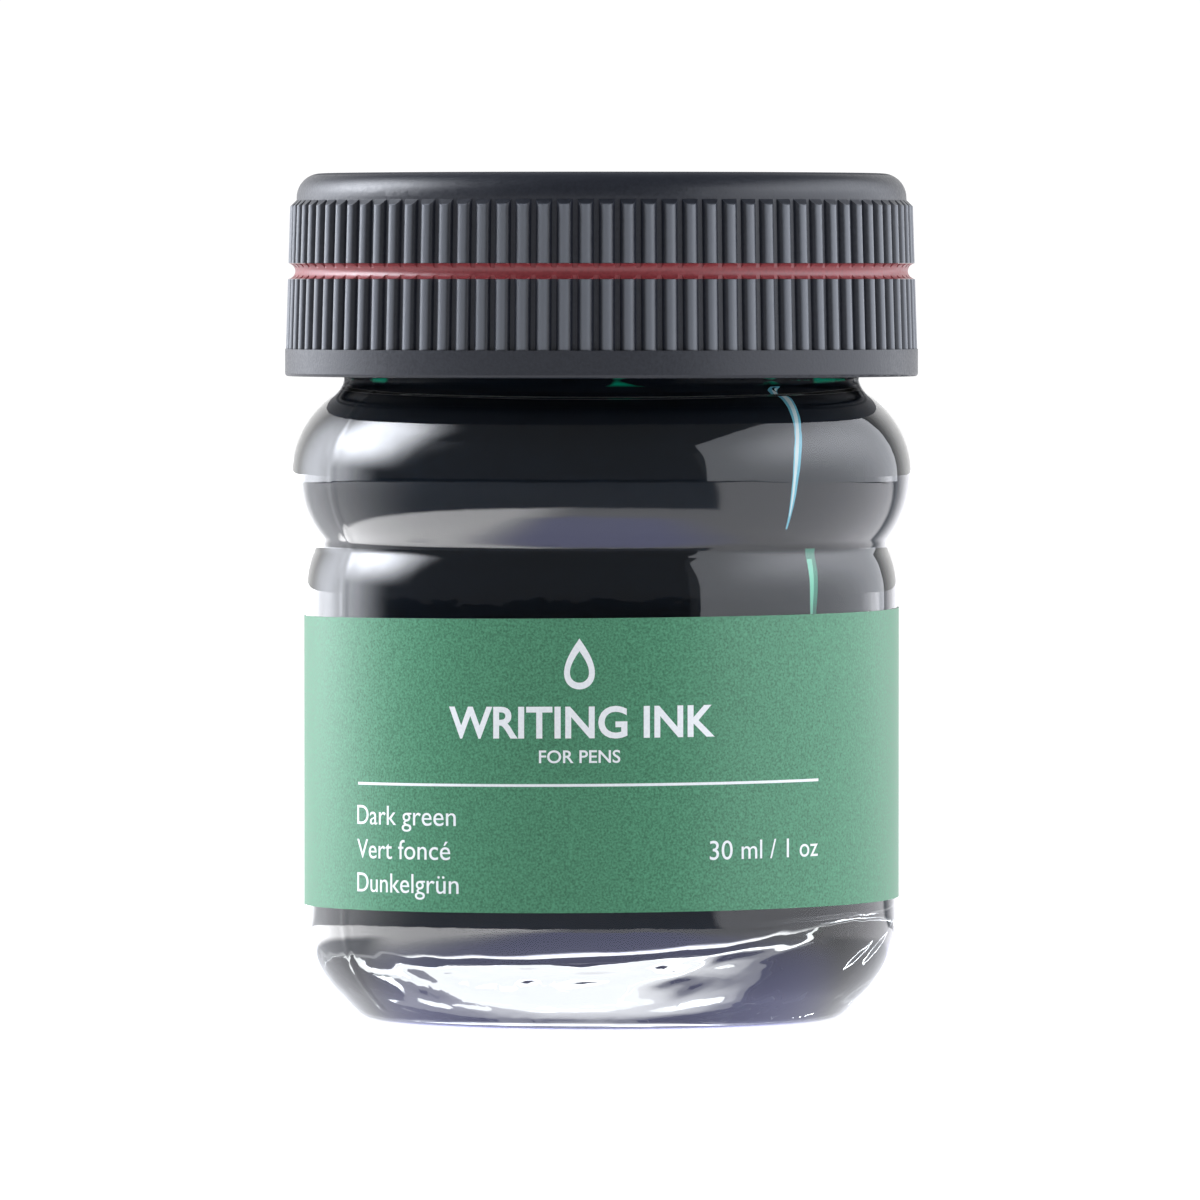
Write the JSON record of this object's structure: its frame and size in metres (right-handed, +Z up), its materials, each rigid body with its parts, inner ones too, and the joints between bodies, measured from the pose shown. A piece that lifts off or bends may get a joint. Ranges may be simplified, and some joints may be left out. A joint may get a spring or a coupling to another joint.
{
  "type": "ink bottle",
  "caption": "Waisted round clear glass ink bottle with thick base, dark green ink, wrap label and a ribbed black two-part screw cap with a red ring.",
  "frame": {"origin": "centre of the ring that the jar stands on", "axes": "+Z up along the jar's axis, -Y towards the middle of the label, +X to the viewer's right"},
  "size_m": [0.0404, 0.0404, 0.0539],
  "materials": {
    "clear_glass": "clear, gloss, slightly wavy",
    "green_ink": "liquid, nearly black with a green edge",
    "label_paper": "satin coated paper, green print with white marks",
    "black_plastic": "fine moulded grain, satin",
    "red_plastic": "satin",
    "insert_plastic": "smooth moulded",
    "facing_film": "gloss film",
    "wad_foam": "closed-cell foam"
  },
  "bodies": {
    "jar": {"glass_jar": "clear_glass", "ink": "green_ink", "label": "label_paper"},
    "seal": {"wad_facing": "facing_film", "wad_backing": "wad_foam"},
    "cap": {"cap_shell": "black_plastic", "red_ring": "red_plastic", "cap_insert": "insert_plastic"}
  },
  "joints": [
    {"name": "cap_lift", "type": "slide", "parent": "jar", "child": "seal", "axis": [0, 0, 1], "range_m": [0, 0.0127]},
    {"name": "cap_turn", "type": "hinge", "parent": "seal", "child": "cap", "pos_m": [0, 0, 0.0509], "axis": [0, 0, 1], "range_deg": [0, 1080]}
  ],
  "couplings": [
    {"joint": "cap_lift", "follows": "cap_turn", "m_per_rad": 0.0006737}
  ]
}
